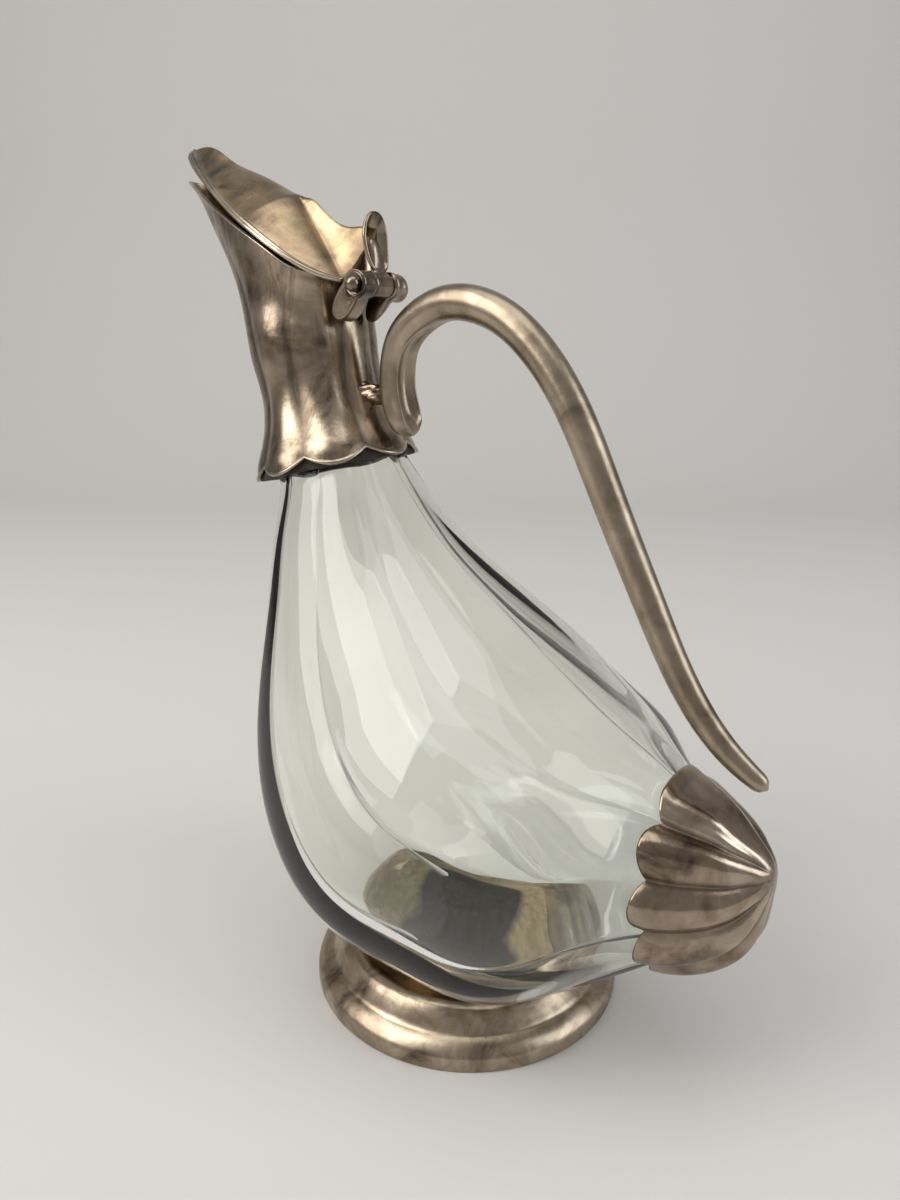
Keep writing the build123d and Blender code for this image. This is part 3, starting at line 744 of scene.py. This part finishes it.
def make_lid():
    """A thin leaf with a bead along its rim, and painted shade on its beak, its fin and its underside."""
    count, across, bead = 150, 110, 9
    first, last = LID_RIM[0][0], LID_RIM[-1][0]
    along = first + (last - first) * np.sin(np.linspace(0, 1, count) * pi / 2)[:, None] ** 1.15
    _, half, rim = np.moveaxis(read_table(LID_RIM, along), -1, 0)
    size = LID_BEAD * (1 + BEAD_GROWTH * smooth((along - BEAD_START) / BEAD_FADE))
    size = size * np.clip((half + 0.4) / 3.0, 0.15, 1)
    side = np.linspace(-1, 1, across) * (half - size)
    inset = half - size - np.abs(side)
    top = lid_top(along * np.ones(across), side, half, rim)
    lift = size * BEAD_LIFT * (1 - smooth(inset / (BEAD_BAND * size)))
    under = rim + (top - rim) * LID_UNDERSIDE - LID_WALL
    turn = np.linspace(BEAD_ARC, -BEAD_ARC, bead) * pi / 2
    right_y, right_h = half - size + size * np.cos(turn), rim + size * (np.sin(turn) - BEAD_DROP)
    ring_y = np.concatenate([side, right_y, side[:, ::-1], -right_y[:, ::-1]], 1)
    ring_h = np.concatenate([top + lift, right_h, under[:, ::-1], right_h[:, ::-1]], 1)
    points = lid_place(along * np.ones(ring_y.shape[1]), ring_y, ring_h)
    full, none = np.ones_like(right_y), np.zeros_like(right_y)
    band = smooth(1 - inset / (RUBBED_BAND * size))
    # painted shade: the beak and the fin darkened on top, except on the rubbed band, and the underside
    # darkened all over
    (beak_dark, beak_start, beak_fade), (fin_dark, fin_end, fin_fade) = BEAK_PAINTED_SHADE, FIN_PAINTED_SHADE
    painted_shade = beak_dark * smooth((along - beak_start) / beak_fade)
    painted_shade = (painted_shade + fin_dark * smooth((fin_end - along) / fin_fade)) * (1 - band)
    piece = skin("lid_leaf", points, "poles", [
        ("edge", "FLOAT", np.concatenate([band, full, np.zeros_like(band), full], 1)),
        ("tarnish_and_painted_shade", "FLOAT", np.concatenate([painted_shade, none, np.full_like(band, UNDERSIDE_PAINTED_SHADE), none], 1))])
    finish_piece(piece, "lid", ["lid"], lid_finish)


# ---------------------------------------------------------------- hinge
EAR_RADIUS, EAR_INNER, EAR_OUTER, EAR_ROUNDING = 4.3, 4.6, 11.2, 0.5
PIN_BORE, BALL_RADIUS, BALL_GAP = 1.6, 2.5, 0.2
BARREL_END, BARREL_SAG = 2.3, 0.5      # length of the far barrel's rounded end, and how much lower its tip is
REACH_SMOOTHINGS = 8
# how far a lug is drawn out at each angle about the hinge, in degrees from +X towards +Z
EAR_REACH = [
    (-178, 0.5), (-160, 3.2), (-147, 7.5), (-134, 10.6), (-118, 8.5), (-104, 3.0), (-92, 0.4), (-80, 0),
]
FIN_REACH = [
    (70, 0), (82, 2.5), (92, 9.0), (101, 13.2), (112, 11.6), (130, 7.6), (150, 5.4), (166, 3.2), (179, 0.4),
]
# stations of a lug: y, radius, share of the reach, sag
EYE = [(1.1 - EAR_OUTER, 2.9, 0, 0), (1.0 - EAR_OUTER, 3.25, 0, 0), (0.2 - EAR_OUTER, 3.45, 0, 0)]
NEAR_EAR = [
    (-9.5, 4.2, 1.0, 0), (-7.6, 4.1, 1.0, 0), (-6.0, 4.2, 1.0, 0), (-5.0, EAR_RADIUS, 1.0, 0),
    (-EAR_INNER, EAR_RADIUS - 0.3, 0.97, 0),
]
FAR_EAR = [
    (EAR_INNER, EAR_RADIUS - 0.3, 0.97, 0), (5.0, EAR_RADIUS, 1.0, 0), (6.2, 4.15, 0.85, 0),
    (7.2, 4.1, 0.4, 0.1), (8.0, 4.2, 0.1, 0.3), (8.8, 4.4, 0, 0.5),
]
HALF_TONGUE = [
    (-4.3, PIN_BORE, 0.0, 0), (-4.3, 3.2, 0.0, 0), (-4.1, 3.55, 0.03, 0), (-3.2, 3.6, 0.25, 0),
    (-2.4, 3.6, 0.7, 0), (-1.4, 3.6, 0.95, 0), (0.0, 3.6, 1.0, 0),
]


def lug(name, stations, reach, body, nodes, around=120, ends="poles"):
    """A rounded lug along Y about the hinge, drawn out by reach."""
    turn = turns(around)
    degrees = (np.degrees(turn) + 180) % 360 - 180
    angles, lengths = zip((-180.0, 0.0), *reach, (180.0, 0.0))
    drawn = np.interp(degrees, angles, lengths)
    for _ in range(REACH_SMOOTHINGS):
        drawn = (np.roll(drawn, 1) + 2 * drawn + np.roll(drawn, -1)) / 4
    rings = []
    for y, radius, share, sag in stations:
        far = radius + share * drawn
        x, z = HINGE[0] + far * np.cos(turn), HINGE[1] - sag + far * np.sin(turn)
        rings.append(np.stack([x, np.full(around, y), z], -1))
    piece = skin(name, np.array(rings), ends)
    finish_piece(piece, body, nodes, hinge_finish)


def make_hinge():
    """Two ears on the collar, the lid's tongue between them, and the ball on the pin's near end."""
    corner = []
    for a in np.linspace(0, pi / 2, 6):
        drop = EAR_ROUNDING * (1 - sin(a))
        corner.append((-EAR_OUTER + drop, EAR_RADIUS - drop - EAR_ROUNDING * cos(a) * 0.6, 0.9 * sin(a), 0))
    lug("near_ear", EYE + corner + NEAR_EAR, EAR_REACH, "jug", ["hinge_bracket"])
    y, radius, _, sag = FAR_EAR[-1]
    end = [(y + BARREL_END * sin(a), radius * cos(a) ** 0.6 + 0.02, 0, sag + BARREL_SAG * sin(a))
           for a in np.linspace(0.2, pi / 2, 8)]
    lug("far_barrel", FAR_EAR + end, EAR_REACH, "jug", [])
    mirrored = [(-y, radius, share, sag) for y, radius, share, sag in HALF_TONGUE[-2::-1]]
    lug("lid_tongue", HALF_TONGUE + mirrored, FIN_REACH, "lid", ["lid_knuckle"], ends="meet")
    ball = [(-EAR_OUTER - BALL_GAP - BALL_RADIUS * cos(a), BALL_RADIUS * sin(a), 0, 0)
            for a in np.linspace(0.02, pi - 0.02, 24)]
    lug("pin_bead", ball, [(0, 0)], "jug", ["pin_ball"], 48)


# ---------------------------------------------------------------- thumb-piece
SPOON_FOOT, SPOON_HEAD = np.array([-39.2, 236.9]), np.array([-41.2, 253.4])
SPOON_HALF_WIDTH, SPOON_DISH, SPOON_BACK, SPOON_EDGE = 4.7, 2.3, 2.1, 0.8
SPOON_BOW, SPOON_CURL, SPOON_FLARE, DISH_POWER = 1.1, 0.5, 0.08, 2.4
SQUARE_LOW, SQUARE_HIGH = 0.55, 0.9      # how square the spoon's lower and upper half are, 1 being an ellipse


def make_spoon():
    """A small oval spoon that stands behind the lid, dished towards the handle."""
    around, rings, rounding = 96, 26, 7
    rise = (SPOON_HEAD - SPOON_FOOT) / 2
    half_height = np.linalg.norm(rise)
    up, middle = rise / half_height, (SPOON_HEAD + SPOON_FOOT) / 2
    face = np.array([up[1], -up[0]])
    turn = turns(around)
    front = np.sin(np.linspace(0.02, 1, rings) * pi / 2)
    back = np.sin(np.linspace(1, 0.02, rings) * pi / 2)
    over = np.linspace(0, pi, rounding)
    reach = np.concatenate([front, np.ones(rounding), back])[:, None]
    edge = np.concatenate([np.zeros(rings), np.sin(over) * SPOON_EDGE, np.zeros(rings)])[:, None]
    depth = np.concatenate([-SPOON_DISH * (1 - front**DISH_POWER), -SPOON_EDGE * (1 - np.cos(over)),
                            -2 * SPOON_EDGE - SPOON_BACK * (1 - back**DISH_POWER)])[:, None]
    lengthwise = (half_height * reach + edge) * np.sin(turn)
    square = squared(np.cos(turn), np.where(np.sin(turn) < 0, SQUARE_LOW, SQUARE_HIGH))
    crosswise = (SPOON_HALF_WIDTH * reach + edge) * square * (1 + SPOON_FLARE * np.sin(turn))
    bow = SPOON_BOW * (lengthwise / half_height) ** 2 + SPOON_CURL * (crosswise / SPOON_HALF_WIDTH) ** 2
    forward = depth + bow
    points = np.stack([middle[0] + up[0] * lengthwise + face[0] * forward, crosswise,
                       middle[1] + up[1] * lengthwise + face[1] * forward], -1)
    piece = skin("thumb_spoon", points, "poles")
    finish_piece(piece, "lid", ["thumb_piece"], spoon_finish)


# ---------------------------------------------------------------- carried-over nodes
def dress(node, material):
    """Gives a node of the frame its finish."""
    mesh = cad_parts[node].data
    mesh.materials.clear()
    mesh.materials.append(material)


make_glass()
make_collar()
make_cap()
make_foot()
make_handle()
make_boss()
make_lid()
make_hinge()
make_spoon()
dress("neck_cement", cement_finish)
dress("foot_cement", seat_finish)
dress("hinge_pin", hinge_finish)
dress("foot_cup", lid_finish)


# ---------------------------------------------------------------- room, light and camera
# lengths in metres, angles in degrees
CAMERA_PLACE, CAMERA_TURN, CAMERA_DIP, CAMERA_ROLL = (0.1629, -0.2246, 0.2180), 37.5, 16.463, 0.642
CAMERA_LENS, CAMERA_SENSOR = 27.03, 36.0
ROOM_FRONT, ROOM_BACK, ROOM_CURVE, ROOM_HEIGHT, ROOM_HALF_WIDTH = -2.5, 0.9, 0.5, 3.0, 4.0
ROOM_COLOUR, AIR_COLOUR, AIR_STRENGTH = (0.66, 0.65, 0.635, 1), (0.62, 0.60, 0.58, 1), 0.55
LAMP_AIM = np.array([0, 0, 0.14])


def make_room():
    """A pale floor that curves up into a pale wall behind the jug."""
    profile = [(ROOM_FRONT, 0.0), (ROOM_BACK, 0.0)]
    profile += [(ROOM_BACK + ROOM_CURVE * sin(a), ROOM_CURVE - ROOM_CURVE * cos(a))
                for a in np.linspace(0.1, pi / 2, 14)]
    profile += [(ROOM_BACK + ROOM_CURVE, ROOM_HEIGHT)]
    c, s = cos(radians(CAMERA_TURN)), sin(radians(CAMERA_TURN))
    vertices = [(side * c - depth * s, side * s + depth * c, height)
                for side in (-ROOM_HALF_WIDTH, ROOM_HALF_WIDTH) for depth, height in profile]
    count = len(profile)
    faces = [(i, i + count, i + 1 + count, i + 1) for i in range(count - 1)]
    mesh = bpy.data.meshes.new("room")
    mesh.from_pydata(vertices, [], faces)
    mesh.shade_smooth()
    room = bpy.data.objects.new("room", mesh)
    bpy.context.collection.objects.link(room)
    material, _, principled = shader("room_paint")
    principled.inputs["Base Color"].default_value = ROOM_COLOUR
    principled.inputs["Roughness"].default_value = 0.75
    mesh.materials.append(material)


def soft_box(name, azimuth, elevation, distance, size, power, colour):
    """An area lamp aimed at the jug's middle from azimuth, 0 along -Y, and elevation above the floor."""
    lamp = bpy.data.lights.new(name, "AREA")
    lamp.shape, lamp.size, lamp.size_y, lamp.energy, lamp.color = "RECTANGLE", *size, power, colour
    holder = bpy.data.objects.new(name, lamp)
    a, e = radians(azimuth), radians(elevation)
    spot = np.array([sin(a) * cos(e), -cos(a) * cos(e), sin(e)]) * distance + LAMP_AIM
    turn = Matrix.Rotation(a, 4, "Z") @ Matrix.Rotation(pi / 2 - e, 4, "X")
    holder.matrix_world = Matrix.Translation(spot) @ turn
    bpy.context.collection.objects.link(holder)


make_room()
soft_box("window", -30, 40, 1.4, (0.9, 1.3), 14, (1.0, 0.97, 0.92))
soft_box("fill", 110, 25, 1.6, (0.8, 1.4), 9, (0.90, 0.95, 1.0))
soft_box("top", 37, 85, 1.6, (1.2, 1.2), 7, (1, 1, 1))

world = bpy.data.worlds.new("room_air")
bpy.context.scene.world = world
world.use_nodes = True
air = world.node_tree.nodes["Background"]
air.inputs["Color"].default_value = AIR_COLOUR
air.inputs["Strength"].default_value = AIR_STRENGTH

camera = bpy.data.cameras.new("camera")
camera.lens, camera.sensor_width = CAMERA_LENS, CAMERA_SENSOR
eye = bpy.data.objects.new("camera", camera)
eye.matrix_world = (
    Matrix.Translation(CAMERA_PLACE) @ Matrix.Rotation(radians(CAMERA_TURN), 4, "Z")
    @ Matrix.Rotation(radians(90 - CAMERA_DIP), 4, "X") @ Matrix.Rotation(radians(CAMERA_ROLL), 4, "Z"))
bpy.context.collection.objects.link(eye)
bpy.context.scene.camera = eye
bpy.context.scene.view_settings.view_transform = "Standard"
